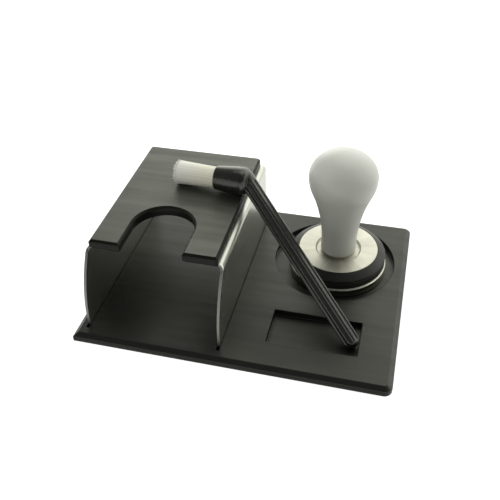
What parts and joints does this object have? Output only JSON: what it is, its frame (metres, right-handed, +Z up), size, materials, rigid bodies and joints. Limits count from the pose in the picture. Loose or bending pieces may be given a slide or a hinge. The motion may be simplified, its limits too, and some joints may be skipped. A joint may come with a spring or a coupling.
{
  "type": "espresso tamping station",
  "caption": "Rubber mat with a folded steel portafilter stand and its rubber pad, a bulb-handled coffee tamper in a round recess, and an angled grounds brush.",
  "frame": {"origin": "middle of the mat's underside, on the worktop", "axes": "+X along the mat's long side, to the right as seen from the front; +Y to the back; +Z up"},
  "size_m": [0.175, 0.137, 0.0827],
  "materials": {
    "mat_rubber": "matte",
    "bracket_steel": "satin",
    "pad_rubber": "matte",
    "tamper_steel": "satin",
    "ring_plastic": "satin",
    "handle_lacquer": "satin",
    "stud_steel": "satin",
    "brush_plastic": "gloss",
    "bristle_fibre": "matte"
  },
  "bodies": {
    "root": {"base_mat": "mat_rubber", "stand_bracket": "bracket_steel", "stand_pad": "pad_rubber", "tamper_base": "tamper_steel", "tamper_ring": "ring_plastic", "tamper_handle": "handle_lacquer", "tamper_stud": "stud_steel", "brush_handle": "brush_plastic", "brush_bristles": "bristle_fibre"}
  },
  "joints": []
}
